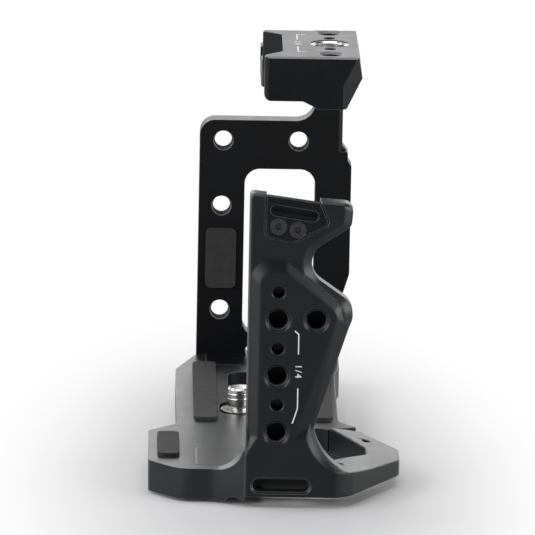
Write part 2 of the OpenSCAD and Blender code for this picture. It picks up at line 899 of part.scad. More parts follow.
bridge_plan = [
    [block_far_x - 3, -4.6, 0],
    [34, -4.6, 5],
    [shoulder_near_x, shoulder_rear, 5],
    [wall_outer_x, shoulder_rear, 3],
    [wall_outer_x, wall_front, 2],
    [shoulder_near_x, wall_front, 5],
    [block_far_x, block_front, 0],
    [block_far_x - 3, block_front, 0]
];

bridge_screw_point = [wall_outer_x - 3, -10.5];
// half the width of the chamfer's face along the block's near top edge
block_chamfer = 0.32;

module along_y(y0, y1) {
    translate([0, y1, 0]) rotate([90, 0, 0]) linear_extrude(y1 - y0) children();
}

module top_bridge() {
    color(black)
        difference() {
            union() {
                intersection() {
                    along_x(block_near_x, block_far_x) polygon(rounded(block_outline));
                    along_z(80, block_top + 1) polygon(rounded(block_plan));
                }
                intersection() {
                    along_y(-20, 10) polygon(rounded(bridge_view));
                    along_z(80, block_top) polygon(rounded(bridge_plan));
                }
            }
            near_corner_cut();
            // chamfer along the block's near top edge
            translate([block_near_x, block_front + 2, block_top])
                rotate([0, 45, 0])
                    translate([-block_chamfer, -20, -block_chamfer])
                        cube([2 * block_chamfer, 60, 2 * block_chamfer]);
            // notch that clears the camera's shoe
            along_z(block_bottom - 3, block_top + over)
                polygon(rounded([
                    [-11.4, notch_floor_y, 1.6], [11.4, notch_floor_y, 1.6],
                    [16.6, block_rear + 1.4, 0], [-18.2, block_rear + 1.4, 0]
                ]));
            // threads in the top face
            top_hole(0, block_holes_y, block_top, insert_radius, insert_depth, insert_radius + 0.1);
            translate([0, block_holes_y, lip_bottom - over]) cylinder(r = three_eighth_core + 0.4, h = 14);
            for (side = [-1, 1]) {
                top_hole(
                    side * quarter_offset, block_holes_y, block_top,
                    quarter_core, 9, quarter_core + chamfer_depth
                );
                top_hole(
                    side * locating_gap, block_holes_y, block_top,
                    locating_radius, 5, locating_radius + 0.15
                );
            }
            // shoe slot in the shoulder, open to the rear
            translate([shoe_centre_x - shoe_slot_width / 2, -6.9, shoulder_top - 4])
                cube([shoe_slot_width, 30, 2.1]);
            translate([shoe_centre_x - shoe_throat_width / 2, -4.6, shoulder_top - 4])
                cube([shoe_throat_width, 30, 5]);
            translate([bridge_screw_point.x, bridge_screw_point.y, shoulder_bottom - over]) {
                cylinder(r = small_screw + 0.15, h = 10);
                translate([0, 0, 3.9 + over]) cylinder(r = 2.9, h = 10);
            }
        }
}

// The near front corner is cut by an upright facet and a leaning one above it
module near_corner_cut() {
    translate([block_near_x, block_front + 3.8, block_top - 7.4])
        rotate([0, 0, -40.4]) {
            translate([-20, -20, -30]) cube([40, 20, 30]);
            rotate([20, 0, 0]) translate([-20, -20, 0]) cube([40, 20, 14]);
        }
}

module top_thread_insert() {
    color(steel)
        translate([0, block_holes_y, block_top])
            mirror([0, 0, 1])
                difference() {
                    translate([0, 0, 0.25]) cylinder(r = insert_radius, h = insert_depth - 0.25);
                    translate([0, 0, -over]) cylinder(r = three_eighth_core, h = 10);
                    cylinder(r1 = three_eighth_core + 0.75, r2 = three_eighth_core, h = 0.75);
                }
}

module bridge_screw() {
    color(screw_black)
        translate([bridge_screw_point.x, bridge_screw_point.y, shoulder_bottom + 3.9 + 2.9])
            cap_screw(2.75, 2.9, small_screw, 13, 1.25);
}

module block_pad() {
    color(rubber_black)
        translate([-11, -0.4, block_bottom - 1]) cube([22, 4, 1]);
}

// Covers the inner ends of the arm's threads
module arm_pad() {
    color(rubber_black)
        along_x(arm_inner_x, arm_inner_x + 0.9)
            polygon(rounded([
                [11.4, 15, 1.5], [11.4, 64, 1.5], [6, 64, 3], [-9, 51.5, 3], [-9, 43.5, 3], [1, 15, 2]
            ]));
}

module wall_pad() {
    color(rubber_black)
        along_x(wall_inner_x - 0.9, wall_inner_x)
            polygon(rounded([[22, 26, 1.5], [22, 42, 1.5], [14, 42, 1.5], [14, 26, 1.5]]));
}

base_plate();
grip_side_arm();
far_side_wall();
top_bridge();
strap_loop_plate();
strap_loop_screws();
arm_screws();
grip_bar_screw();
wall_screws();
bridge_screw();
top_thread_insert();
tripod_thread_insert();
camera_screw();
screw_clip();
front_seat_pad();
rear_seat_pad();
rear_lip_pad();
arm_pad();
wall_pad();
block_pad();
grip_side_foot();
rear_foot();
far_front_foot();
far_rear_foot();
hex_key();
key_magnets();
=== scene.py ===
"""Camera cage: finishes, threads, printed marks and ribbed pads over the cage's solids.

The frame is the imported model. Its solids stay where they are and get their finish
here, and every piece added here sits on one of them. Sizes are millimetres, which MM
turns into metres, except in the studio, where they are metres. +X runs from the grip
side to the far side, +Y from the lens side to the rear, +Z up, from the mouth of the
tripod thread.
"""

from __future__ import annotations

import logging
import math
from dataclasses import dataclass, field
from enum import Enum
from typing import Callable, Iterable, Mapping, Sequence, Union

import bpy
from mathutils import Matrix, Vector


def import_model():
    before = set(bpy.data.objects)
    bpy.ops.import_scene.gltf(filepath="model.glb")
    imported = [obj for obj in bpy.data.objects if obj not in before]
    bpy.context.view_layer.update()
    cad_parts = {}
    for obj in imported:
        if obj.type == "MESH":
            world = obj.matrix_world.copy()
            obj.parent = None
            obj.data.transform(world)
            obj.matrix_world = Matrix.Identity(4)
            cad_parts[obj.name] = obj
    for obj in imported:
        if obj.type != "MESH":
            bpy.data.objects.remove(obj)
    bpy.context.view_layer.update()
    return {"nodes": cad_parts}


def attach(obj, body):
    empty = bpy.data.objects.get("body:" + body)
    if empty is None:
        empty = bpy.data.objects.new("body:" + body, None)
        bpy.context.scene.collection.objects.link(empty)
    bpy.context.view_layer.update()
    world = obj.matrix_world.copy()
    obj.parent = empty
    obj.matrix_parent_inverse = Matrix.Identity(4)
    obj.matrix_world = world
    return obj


MM = 0.001
FULL_TURN = 2 * math.pi
LOG = logging.getLogger("camera_cage")

CREASED, THREADED = 30.0, 60.0  # smoothing angles of sharp pieces and of threads
COUNTERSINK = 0.75  # depth of the mouth round every quarter inch thread
TOP_AXIS = (0.0, -8.2)  # X and Y of the block's steel thread
SCREW_AXIS = (0.0, 13.2)  # X and Y of the camera screw

Point = tuple[float, float, float]
Flat = tuple[float, float]
Colour = tuple[float, float, float]
Value = Union["Wire", float, Sequence[float]]


class Slot(Enum):
    """The material slots."""

    ANODISED = "anodised"
    RUBBER = "rubber"
    STAINLESS = "stainless"
    BLACK_STEEL = "black_steel"
    MAGNET = "magnet"


class Body(Enum):
    """The bodies that pieces ride on."""

    CAGE = "cage"
    CLIP = "clip"
    SCREW = "screw"
    KEY = "key"


# ---- Shader maths ---------------------------------------------------------------


@dataclass(frozen=True)
class Wire:
    """An output socket that can stand in a sum with numbers and other wires."""

    sheet: "NodeSheet"
    socket: bpy.types.NodeSocket

    def _math(self, operation: str, *terms: Value) -> "Wire":
        """Adds one Math node.

        Args:
            operation: the node's operation.
            terms: its inputs, in order.

        Returns:
            The wire that holds the result.
        """
        return self.sheet.node(
            "ShaderNodeMath", {"operation": operation}, dict(enumerate(terms))
        )["Value"]

    def __add__(self, other: Value) -> "Wire":
        """Self plus other."""
        return self._math("ADD", self, other)

    def __sub__(self, other: Value) -> "Wire":
        """Self less other."""
        return self._math("SUBTRACT", self, other)

    def __rsub__(self, other: Value) -> "Wire":
        """Other less self."""
        return self._math("SUBTRACT", other, self)

    def __mul__(self, other: Value) -> "Wire":
        """Self times other."""
        return self._math("MULTIPLY", self, other)

    def __truediv__(self, other: Value) -> "Wire":
        """Self over other."""
        return self._math("DIVIDE", self, other)

    def __pow__(self, other: Value) -> "Wire":
        """Self to the power of other."""
        return self._math("POWER", self, other)

    __radd__ = __add__
    __rmul__ = __mul__

    def wave(self) -> "Wire":
        """The sine of self, moved to run from 0 to 1."""
        return 0.5 + 0.5 * self._math("SINE", self)

    def between(self, low: float, high: float) -> "Wire":
        """A smooth step of self, 0 at low and 1 at high."""
        return self.sheet.node(
            "ShaderNodeMapRange",
            {"interpolation_type": "SMOOTHSTEP"},
            {"Value": self, "From Min": low, "From Max": high},
        )["Result"]

    def around(self, middle: float, swing: float) -> "Wire":
        """Self, from 0 to 1, turned into middle less or plus swing."""
        return middle - swing + 2 * swing * self


class NodeSheet:
    """A node tree with one method that makes any node."""

    def __init__(self, tree: bpy.types.NodeTree) -> None:
        """Empties the tree.

        Args:
            tree: a material's or the world's node tree.
        """
        self.tree = tree
        tree.nodes.clear()

    def node(
        self,
        kind: str,
        settings: Mapping[str, object] | None = None,
        inputs: Mapping[str | int, Value] | None = None,
    ) -> dict[str, Wire]:
        """Makes a node.

        Args:
            kind: the node's type name.
            settings: its properties, set first.
            inputs: values or wires for its sockets, by identifier or index.

        Returns:
            Its outputs by identifier.
        """
        made = self.tree.nodes.new(kind)
        for name, setting in (settings or {}).items():
            setattr(made, name, setting)
        for key, value in (inputs or {}).items():
            self._feed(self._socket(made, key), value)
        return {out.identifier: Wire(self, out) for out in made.outputs}

    @staticmethod
    def _socket(made: bpy.types.Node, key: str | int) -> bpy.types.NodeSocket:
        """The input of a node with that identifier or index."""
        if isinstance(key, int):
            return made.inputs[key]
        return next(socket for socket in made.inputs if socket.identifier == key)

    def _feed(self, socket: bpy.types.NodeSocket, value: Value) -> None:
        """Links a wire to a socket, or sets the socket to a value."""
        if isinstance(value, Wire):
            self.tree.links.new(value.socket, socket)
        elif isinstance(value, (int, float)):
            socket.default_value = value
        elif socket.type == "RGBA":
            socket.default_value = (*value, 1.0)
        else:
            socket.default_value = tuple(value)

    def mixed(self, share: Value, low: Value, high: Value) -> Wire:
        """A colour between low and high, at share."""
        return self.node(
            "ShaderNodeMix",
            {"data_type": "RGBA"},
            {"Factor_Float": share, "A_Color": low, "B_Color": high},
        )["Result_Color"]

    def place(self) -> Wire:
        """The point on the surface, in metres from the object's origin."""
        return self.node("ShaderNodeTexCoord")["Object"]

    def speckle(self, place: Wire, pitch: float, detail: float = 2.0) -> Wire:
        """Even noise from 0 to 1.

        Args:
            place: where it is read.
            pitch: size of its cells in millimetres.
            detail: how many finer layers it has.

        Returns:
            The noise.
        """
        noise = self.node(
            "ShaderNodeTexNoise",
            {},
            {"Vector": place, "Scale": 1 / (pitch * MM), "Detail": detail},
        )["Fac"]
        return noise.between(0.3, 0.7)

    def axis_distance(self, place: Wire, centre: Flat) -> Wire:
        """Distance in millimetres from an upright axis through centre."""
        offset = self.node(
            "ShaderNodeVectorMath",
            {"operation": "SUBTRACT"},
            {0: place, 1: (centre[0] * MM, centre[1] * MM, 0)},
        )["Vector"]
        level = self.node(
            "ShaderNodeVectorMath", {"operation": "MULTIPLY"}, {0: offset, 1: (1, 1, 0)}
        )["Vector"]
        length = self.node(
            "ShaderNodeVectorMath", {"operation": "LENGTH"}, {0: level}
        )["Value"]
        return length / MM

    def softened(
        self, radius: float, edge_reach: float, mask: Flat = (0.12, 0.42), samples: int = 6
    ) -> tuple[Wire, Wire]:
        """Edges rounded in the shading only.

        Args:
            radius: their radius in millimetres.
            edge_reach: how far in from an outer edge, in millimetres, the mask reaches.
            mask: how open an edge is where the mask starts and where it is full.
            samples: rays for each of the two.

        Returns:
            The rounded normal, and a mask that is 1 on sharp outer edges.
        """
        rounded = self.node(
            "ShaderNodeBevel", {"samples": samples}, {"Radius": radius * MM}
        )["Normal"]
        thick = self.node(
            "ShaderNodeAmbientOcclusion",
            {"samples": samples, "inside": True, "only_local": True},
            {"Distance": edge_reach * MM},
        )["AO"]
        return rounded, (1 - thick).between(*mask)

    def relief(
        self, height: Value, depth: float, strength: float, normal: Wire | None = None
    ) -> Wire:
        """A bumped normal.

        Args:
            height: the relief, from 0 to 1.
            depth: its full height in millimetres.
            strength: how strongly it shows.
            normal: the normal to start from, or None for the surface's own.

        Returns:
            The normal.
        """
        inputs = {"Strength": strength, "Distance": depth * MM, "Height": height}
        if normal:
            inputs["Normal"] = normal
        return self.node("ShaderNodeBump", {}, inputs)["Normal"]

    def upward(self) -> Wire:
        """How far a face looks up, from 1 down to -1."""
        faces = self.node("ShaderNodeNewGeometry")["True Normal"]
        return self.node("ShaderNodeSeparateXYZ", {}, {"Vector": faces})["Z"]

    def surface(self, inputs: Mapping[str | int, Value]) -> None:
        """Ends the tree in a Principled shader with these inputs."""
        shader = self.node("ShaderNodeBsdfPrincipled", {}, inputs)["BSDF"]
        self.node("ShaderNodeOutputMaterial", {}, {"Surface": shader})


# ---- Finishes -------------------------------------------------------------------


@dataclass(frozen=True)
class Finish:
    """A surface finish that makes its material once."""

    name: str
    slot: Slot

    def material(self) -> bpy.types.Material:
        """The finish's material, made the first time it is asked for."""
        found = bpy.data.materials.get(self.name)
        if found:
            return found
        made = bpy.data.materials.new(self.name)
        made.use_nodes = True
        self.paint(NodeSheet(made.node_tree))
        return made

    def paint(self, sheet: NodeSheet) -> None:
        """Builds the finish's nodes on an empty sheet."""
        raise NotImplementedError

    def dress(self, node: bpy.types.Object) -> None:
        """Gives a solid of the frame this finish."""
        node.data.materials.clear()
        node.data.materials.append(self.material())
        for face in node.data.polygons:
            face.material_index = 0


@dataclass(frozen=True)
class AnodisedFinish(Finish):
    """Bead-blasted aluminium, anodised black, lighter on its edges from wear and a
    painted highlight.
    """

    dye: Colour = (0.0042, 0.0056, 0.0066)
    faded: Colour = (0.0082, 0.0099, 0.0114)
    # lighter colour: outer edges take it from wear and a painted highlight, upward
    # slopes as a painted highlight
    bare_and_highlight: Colour = (0.15, 0.15, 0.16)
    roughness: float = 0.36
    roughness_swing: float = 0.035
    shine: float = 0.42
    # how strongly faces that slope upward get a painted highlight
    slope_highlight_share: float = 0.0
    edge_reach: float = 0.16
    blast_pitch: float = 0.16
    blast_spread: float = 3.5
    blast_depth: float = 0.006
    blast_strength: float = 0.35
    cloud_pitch: float = 7.0
    edge_radius: float = 0.22
    edge_polish: float = 0.06
    slope_starts: Flat = (0.55, 0.65)
    slope_ends: Flat = (0.78, 0.88)

    def paint(self, sheet: NodeSheet) -> None:
        """Fine blasted grain, faint clouds in the dye, edges lighter from wear and a
        painted highlight, and a painted highlight on slopes that look up.
        """
        place = sheet.place()
        grain = sheet.speckle(place, self.blast_pitch)
        coarse = sheet.speckle(place, self.blast_spread * self.blast_pitch)
        cloud = sheet.speckle(place, self.cloud_pitch, 3.0)
        rounded, edge = sheet.softened(self.edge_radius, self.edge_reach)
        tone = 0.4 * cloud + 0.35 * grain + 0.25 * coarse
        upward = sheet.upward()
        # painted highlight on faces that slope upward
        slope_highlight = self.slope_highlight_share * upward.between(*self.slope_starts)
        edge = edge + slope_highlight * (1 - upward.between(*self.slope_ends))
        height = 0.6 * grain + 0.4 * coarse
        sheet.surface(
            {
                # outer edges lighter from wear and a painted highlight; upward slopes
                # lighter as a painted highlight
                "Base Color": sheet.mixed(
                    edge, sheet.mixed(tone, self.dye, self.faded), self.bare_and_highlight
                ),
                "Roughness": (0.5 * cloud + 0.5 * grain).around(
                    self.roughness, self.roughness_swing
                )
                - self.edge_polish * edge,
                "Specular IOR Level": self.shine,
                "Normal": sheet.relief(
                    height, self.blast_depth, self.blast_strength, rounded
                ),
            }
        )


@dataclass(frozen=True)
class RubberFinish(Finish):
    """Moulded matt rubber with a fine grain."""

    body_colour: Colour = (0.011, 0.011, 0.0115)
    dusty: Colour = (0.026, 0.026, 0.0265)
    roughness: float = 0.74
    roughness_swing: float = 0.09
    shine: float = 0.35
    edge_reach: float = 0.4
    dust_pitch: float = 3.0
    grain_pitch: float = 0.22
    grain_depth: float = 0.012
    grain_strength: float = 0.6
    edge_radius: float = 0.18

    def paint(self, sheet: NodeSheet) -> None:
        """Leathery grain, and dust that settles in patches."""
        place = sheet.place()
        grain = sheet.speckle(place, self.grain_pitch, 3.0)
        dust = sheet.speckle(place, self.dust_pitch, 4.0)
        rounded, edge = sheet.softened(self.edge_radius, self.edge_reach)
        sheet.surface(
            {
                "Base Color": sheet.mixed(
                    0.5 * dust + 0.3 * grain + 0.3 * edge, self.body_colour, self.dusty
                ),
                "Roughness": (0.6 * dust + 0.4 * grain).around(
                    self.roughness, self.roughness_swing
                ),
                "Specular IOR Level": self.shine,
                "Normal": sheet.relief(
                    grain, self.grain_depth, self.grain_strength, rounded
                ),
            }
        )


@dataclass(frozen=True)
class TurnedFinish(Finish):
    """Bare metal turned on a lathe: fine rings round an upright axis."""

    centre: Flat = (0.0, 0.0)
    metal: Colour = (0.62, 0.615, 0.61)
    stained: Colour = (0.5, 0.49, 0.475)
    roughness: float = 0.24
    roughness_swing: float = 0.06
    edge_reach: float = 0.4
    stain_pitch: float = 1.8
    scratch_pitch: float = 0.1
    ring_pitch: float = 0.14
    ring_depth: float = 0.004
    ring_strength: float = 0.5
    ring_wander: float = 1.5
    edge_radius: float = 0.12

    def paint(self, sheet: NodeSheet) -> None:
        """Turning rings, with small scratches and a faint stain."""
        place = sheet.place()
        stain = sheet.speckle(place, self.stain_pitch, 3.0)
        scratch = sheet.speckle(place, self.scratch_pitch)
        turns = sheet.axis_distance(place, self.centre) * (FULL_TURN / self.ring_pitch)
        rings = (turns + self.ring_wander * stain).wave()
        rounded, edge = sheet.softened(self.edge_radius, self.edge_reach)
        height = 0.8 * rings + 0.2 * scratch
        sheet.surface(
            {
                "Base Color": sheet.mixed(
                    0.6 * stain + 0.3 * rings - 0.4 * edge, self.metal, self.stained
                ),
                "Metallic": 1.0,
                "Roughness": (0.5 * stain + 0.5 * scratch).around(
                    self.roughness, self.roughness_swing
                ),
                "Normal": sheet.relief(
                    height, self.ring_depth, self.ring_strength, rounded
                ),
            }
        )


@dataclass(frozen=True)
class BlackSteelFinish(Finish):
    """Oiled black oxide on steel, worn brighter along its edges."""

    oxide: Colour = (0.03, 0.0305, 0.033)
    rubbed: Colour = (0.13, 0.13, 0.132)
    roughness: float = 0.3
    roughness_swing: float = 0.07
    edge_reach: float = 0.14
    skin_pitch: float = 0.35
    skin_depth: float = 0.006
    skin_strength: float = 0.4
    patch_pitch: float = 2.4
    worn: Flat = (0.15, 0.9)
    edge_radius: float = 0.1

    def paint(self, sheet: NodeSheet) -> None:
        """A close dark skin with rubbed corners."""
        place = sheet.place()
        skin = sheet.speckle(place, self.skin_pitch, 4.0)
        patch = sheet.speckle(place, self.patch_pitch, 3.0)
        rounded, edge = sheet.softened(self.edge_radius, self.edge_reach)
        wear = edge * patch.between(*self.worn)
        sheet.surface(
            {
                "Base Color": sheet.mixed(
                    0.12 * skin + 0.7 * wear, self.oxide, self.rubbed
                ),
                "Metallic": 0.35 + 0.5 * wear,
                "Roughness": (0.6 * skin + 0.4 * patch).around(
                    self.roughness, self.roughness_swing
                ),
                "Normal": sheet.relief(
                    skin, self.skin_depth, self.skin_strength, rounded
                ),
            }
        )


@dataclass(frozen=True)
class InkFinish(Finish):
    """White ink baked on the anodising."""

    ink: Colour = (0.74, 0.74, 0.75)
    thin: Colour = (0.5, 0.5, 0.52)
    roughness: float = 0.62
    roughness_swing: float = 0.08
    shine: float = 0.3
    spot_pitch: float = 0.12
    spot_depth: float = 0.004
    spot_strength: float = 0.3

    def paint(self, sheet: NodeSheet) -> None:
        """Opaque ink, a little thinner in spots."""
        spots = sheet.speckle(sheet.place(), self.spot_pitch, 3.0)
        sheet.surface(
            {
                "Base Color": sheet.mixed(0.5 * spots, self.ink, self.thin),
                "Roughness": spots.around(self.roughness, self.roughness_swing),
                "Specular IOR Level": self.shine,
                "Normal": sheet.relief(spots, self.spot_depth, self.spot_strength),
            }
        )


ANODISED = AnodisedFinish("black_anodised", Slot.ANODISED)
ARM_ANODISED = AnodisedFinish(
    "arm_anodised",
    Slot.ANODISED,
    dye=(0.0018, 0.0028, 0.0036),
    faded=(0.0045, 0.006, 0.0074),
    shine=0.38,
    edge_radius=0.9,
)
PLATE_ANODISED = AnodisedFinish(
    "plate_anodised",
    Slot.ANODISED,
    dye=(0.0018, 0.0026, 0.0032),
    faded=(0.004, 0.0052, 0.0062),
    shine=0.22,
)
BLOCK_ANODISED = AnodisedFinish(
    "block_anodised",
    Slot.ANODISED,
    dye=(0.0022, 0.0028, 0.0037),
    faded=(0.0048, 0.0058, 0.007),
    shine=0.2,
    # the block's upward slopes get the painted highlight in full
    slope_highlight_share=1.0,
    edge_radius=0.3,
)
WALL_ANODISED = AnodisedFinish(
    "wall_anodised",
    Slot.ANODISED,
    dye=(0.0018, 0.002, 0.0026),
    faded=(0.0036, 0.004, 0.0048),
    shine=0.22,
)
RUBBER = RubberFinish("matt_rubber", Slot.RUBBER)
TRIPOD_STEEL = TurnedFinish("tripod_insert_steel", Slot.STAINLESS)
TOP_STEEL = TurnedFinish("top_insert_steel", Slot.STAINLESS, centre=TOP_AXIS)
SCREW_STEEL = TurnedFinish("camera_screw_steel", Slot.STAINLESS, centre=SCREW_AXIS)
CLIP_STEEL = TurnedFinish(
    "spring_clip_steel",
    Slot.STAINLESS,
    centre=SCREW_AXIS,
    roughness=0.3,
    ring_pitch=0.6,
)
BLACK_STEEL = BlackSteelFinish("black_oxide_steel", Slot.BLACK_STEEL)
NICKEL = TurnedFinish(
    "nickel_plating",
    Slot.MAGNET,
    metal=(0.7, 0.68, 0.63),
    stained=(0.58, 0.555, 0.5),
    roughness=0.14,
    ring_pitch=1.4,
)
INK = InkFinish("white_ink", Slot.ANODISED)


# ---- Mesh building --------------------------------------------------------------


@dataclass
class Shell:
    """Points and faces of one piece, in millimetres."""

    points: list[Point] = field(default_factory=list)
    faces: list[tuple[int, ...]] = field(default_factory=list)

    def strip(self, rings: Sequence[Sequence[Point]], capped: bool = True) -> None:
        """Joins closed rings of points into a tube.

        Args:
            rings: rings with the same number of points.
            capped: whether its two ends are closed.
        """
        start = len(self.points)
        size = len(rings[0])
        self.points.extend(point for ring in rings for point in ring)
        for k in range(len(rings) - 1):
            low, high = start + k * size, start + (k + 1) * size
            for i in range(size):
                j = (i + 1) % size
                self.faces.append((low + i, low + j, high + j, high + i))
        if capped:
            last = start + (len(rings) - 1) * size
            self.faces.append(tuple(start + i for i in reversed(range(size))))
            self.faces.append(tuple(last + i for i in range(size)))

    def piece(
        self, name: str, finish: Finish, body: Body, smooth_angle: float = 40.0
    ) -> bpy.types.Object:
        """Makes the object and puts it on a body.

        Args:
            name: its name.
            finish: its finish.
            body: the body that it rides on.
            smooth_angle: faces that meet at less than this many degrees shade as one.

        Returns:
            The object.
        """
        mesh = bpy.data.meshes.new(name)
        mesh.from_pydata(
            [tuple(MM * c for c in point) for point in self.points], [], self.faces
        )
        mesh.validate()
        mesh.shade_smooth()
        mesh.set_sharp_from_angle(angle=math.radians(smooth_angle))
        return place_piece(name, mesh, finish, body)


def place_piece(
    name: str, mesh: bpy.types.Mesh, finish: Finish, body: Body
) -> bpy.types.Object:
    """Adds a finished mesh to the cage.

    Args:
        name: the piece's name.
        mesh: its mesh, in metres in the row frame.
        finish: its finish.
        body: the body that it rides on.

    Returns:
        The piece.
    """
    made = bpy.data.objects.new(name, mesh)
    bpy.context.scene.collection.objects.link(made)
    mesh.materials.clear()
    mesh.materials.append(finish.material())
    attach(made, body.value)
    LOG.info("piece %s: %d faces, on %s", name, len(mesh.polygons), body.value)
    return made


@dataclass(frozen=True)
class Face:
    """A flat face to draw on: its origin and the directions of right and up."""

    origin: Point
    right: Point
    up: Point

    def at(self, x: float, y: float, lift: float = 0.0) -> Point:
        """The point x right, y up and lift above the face."""
        right, up = Vector(self.right), Vector(self.up)
        out = right.cross(up)
        return tuple(Vector(self.origin) + x * right + y * up + lift * out)

    def matrix(self, x: float, y: float) -> Matrix:
        """Moves a drawing made in X and Y, in metres, on to the face at x, y."""
        right, up = Vector(self.right), Vector(self.up)
        turn = Matrix((right, up, right.cross(up))).transposed().to_4x4()
        return Matrix.Translation(Vector(self.at(x, y)) * MM) @ turn


@dataclass(frozen=True)
class Thread:
    """A screw thread's ridge, wound round an axis.

    root_half and crest_half are shares of the pitch, the rest is in millimetres.
    """

    mouth: Point
    inward: Point
    radius: float
    length: float
    pitch: float
    ridge: float
    outside: bool = False
    steps: int = 30
    sunk: float = 0.03
    root_half: float = 0.46
    crest_half: float = 0.07
    least_rise: float = 0.001

    def shell(self) -> Shell:
        """The ridge as a coil that fades out at both ends."""
        axis = Vector(self.inward).normalized()
        across = axis.orthogonal().normalized()
        along = axis.cross(across)
        count = int(self.length / self.pitch * self.steps)
        sign = 1 if self.outside else -1
        rings = []
        for k in range(count + 1):
            angle = FULL_TURN * k / self.steps
            fade = min(1.0, k / self.steps, (count - k) / self.steps)
            depth = self.length * k / count
            out = across * math.cos(angle) + along * math.sin(angle)
            root = self.radius - sign * self.sunk
            crest = self.radius + sign * (self.ridge * fade + self.least_rise)
            section = (
                (root, -self.root_half),
                (crest, -self.crest_half),
                (crest, self.crest_half),
                (root, self.root_half),
            )
            rings.append(
                [
                    tuple(
                        Vector(self.mouth)
                        + axis * (depth + share * self.pitch)
                        + out * radius
                    )
                    for radius, share in section
                ]
            )
        shell = Shell()
        shell.strip(rings)
        return shell


@dataclass(frozen=True)
class PrintedLine:
    """A printed line of even width through points on a face."""

    points: tuple[Flat, ...]
    width: float = 0.3
    thickness: float = 0.012

    def draw(self, shell: Shell, face: Face) -> None:
        """Adds the line to a shell, with mitred corners."""
        spots = [Vector(p) for p in self.points]
        rings = []
        for i, spot in enumerate(spots):
            before = (spot - spots[i - 1]).normalized() if i else None
            after = (spots[i + 1] - spot).normalized() if i + 1 < len(spots) else None
            heading = ((before or after) + (after or before)).normalized()
            side = Vector((-heading.y, heading.x))
            reach = self.width / 2
            if before and after:
                reach /= max(0.5, side.dot(Vector((-before.y, before.x))))
            left, right = spot + side * reach, spot - side * reach
            rings.append(
                [
                    face.at(left.x, left.y),
                    face.at(left.x, left.y, self.thickness),
                    face.at(right.x, right.y, self.thickness),
                    face.at(right.x, right.y),
                ]
            )
        shell.strip(rings)


def printed_number(
    name: str, text: str, height: float, face: Face, middle: Flat, body: Body
) -> bpy.types.Object:
    """Prints a plain number on a face.

    Args:
        name: the piece's name.
        text: the digits.
        height: height of a digit in millimetres.
        face: the face that carries it.
        middle: where the middle of the number is on that face.
        body: the body that it rides on.

    Returns:
        The printed number.
    """
    capital_share, spacing = 0.73, 1.25
    half_thickness, boldness = 0.006, 0.012
    curve = bpy.data.curves.new(name + "_outline", "FONT")
    curve.body = text
    curve.size = height / capital_share * MM
    curve.align_x, curve.align_y = "CENTER", "CENTER"
    curve.extrude = half_thickness * MM
    curve.offset = boldness * MM
    curve.space_character = spacing
    curve.resolution_u = 4
    lettering = bpy.data.objects.new(name + "_outline", curve)
    bpy.context.scene.collection.objects.link(lettering)
    bpy.context.view_layer.update()
    mesh = bpy.data.meshes.new_from_object(
        lettering.evaluated_get(bpy.context.evaluated_depsgraph_get())
    )
    bpy.data.objects.remove(lettering)
    bpy.data.curves.remove(curve)
    mesh.name = name
    mesh.transform(face.matrix(*middle))
    return place_piece(name, mesh, INK, body)


@dataclass(frozen=True)
class PadRibs:
    """Low rounded ribs across the top of a rubber pad."""

    # Places along a rib, as shares of its length, and how full it is there
    FULLNESS = ((0, 0.05), (0.06, 0.8), (0.15, 1), (0.85, 1), (0.94, 0.8), (1, 0.05))
    ARC = (-90, -54, -18, 18, 54, 90)

    start: Flat
    finish: Flat
    top: float
    pitch: float = 1.7
    height: float = 0.16
    margin: float = 0.9
    half_share: float = 0.32
    sunk: float = 0.01

    def shell(self) -> Shell:
        """The ribs, which run across the pad's shorter way."""
        (x0, y0), (x1, y1) = self.start, self.finish
        lengthwise = x1 - x0 > y1 - y0
        long_span = (x1 - x0 if lengthwise else y1 - y0) - 2 * self.margin
        short_span = (y1 - y0 if lengthwise else x1 - x0) - 2 * self.margin
        count = int(long_span / self.pitch)
        shell = Shell()
        for k in range(count + 1):
            place = self.margin + long_span * k / count
            rings = []
            for share, scale in self.FULLNESS:
                across = self.margin + short_span * share
                half = self.half_share * self.pitch * scale
                ring = []
                for degrees in self.ARC:
                    angle = math.radians(degrees)
                    along = place + half * math.sin(angle)
                    rise = self.height * scale * math.cos(angle)
                    x, y = (along, across) if lengthwise else (across, along)
                    ring.append((x0 + x, y0 + y, self.top - self.sunk + rise))
                rings.append(ring)
            shell.strip(rings)
        return shell


# ---- Sub-assemblies -------------------------------------------------------------


@dataclass(frozen=True)
class HoleSize:
    """A threaded hole's radius, its thread's pitch and how far the ridge stands in."""

    radius: float
    pitch: float
    ridge: float


QUARTER = HoleSize(2.6, 1.27, 0.34)
THREE_EIGHTH = HoleSize(4.0, 1.5875, 0.42)


@dataclass
class ThreadedHoles:
    """Threads cut in a row of holes of one size."""

    prefix: str
    mouths: Sequence[Point]
    inward: Point
    length: float
    finish: Finish
    size: HoleSize = QUARTER

    def build(self) -> None:
        """Winds a thread in every hole."""
        size = self.size
        for number, mouth in enumerate(self.mouths, 1):
            coil = Thread(
                mouth, self.inward, size.radius, self.length, size.pitch, size.ridge
            )
            name = f"{self.prefix}_{number}"
            coil.shell().piece(name, self.finish, Body.CAGE, THREADED)


